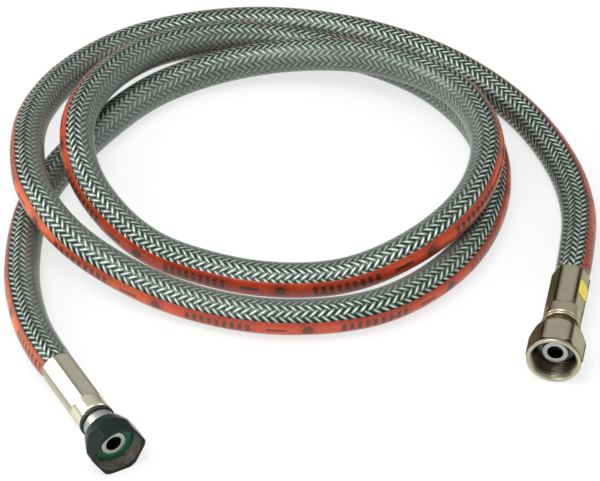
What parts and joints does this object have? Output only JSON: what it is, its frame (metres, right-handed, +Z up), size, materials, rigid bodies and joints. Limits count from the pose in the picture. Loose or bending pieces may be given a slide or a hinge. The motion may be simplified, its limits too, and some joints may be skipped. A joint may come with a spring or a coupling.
{
  "type": "flexible gas hose",
  "caption": "Flexible gas hose with a steel braid under a clear sheath, a coloured stripe, crimped ferrules and threaded swivel nuts at both ends, lying in a loose coil.",
  "frame": {"origin": "on the surface that the hose lies on, below the middle of the box round the two end fittings", "axes": "+X from the left fitting towards the right one, +Y away from the nuts' mouths towards the coil, +Z up"},
  "size_m": [0.268, 0.3233, 0.0329],
  "materials": {
    "rubber_tube": "matt black",
    "steel_braid": "bright woven wire",
    "clear_sheath": "clear and glossy",
    "orange_stripe": "glossy orange",
    "right_ferrule": "nickel plate",
    "right_nipple": "nickel plate",
    "right_neck_ring": "nickel plate",
    "right_nut": "nickel plate",
    "right_label": "plain yellow",
    "left_ferrule": "bright nickel plate",
    "left_nipple": "bright nickel plate",
    "left_neck_ring": "matt black",
    "left_nut": "black zinc plate, half gloss",
    "left_seal": "satin green"
  },
  "bodies": {
    "hose": {"rubber_tube": "rubber_tube", "steel_braid": "steel_braid", "clear_sheath": "clear_sheath", "orange_stripe": "orange_stripe", "right_ferrule": "right_ferrule", "right_nipple": "right_nipple", "right_neck_ring": "right_neck_ring", "right_label": "right_label", "left_ferrule": "left_ferrule", "left_nipple": "left_nipple", "left_neck_ring": "left_neck_ring", "left_seal": "left_seal"},
    "right_nut": {"right_nut": "right_nut"},
    "left_nut": {"left_nut": "left_nut"}
  },
  "joints": [
    {"name": "right_nut_swivel", "type": "hinge", "parent": "hose", "child": "right_nut", "pos_m": [0.10205, 0.0133, 0.012], "axis": [-0.1994, -0.9799, 0], "continuous": true},
    {"name": "left_nut_swivel", "type": "hinge", "parent": "hose", "child": "left_nut", "pos_m": [-0.08791, -0.04621, 0.011], "axis": [0.4802, -0.8771, 0], "continuous": true}
  ]
}
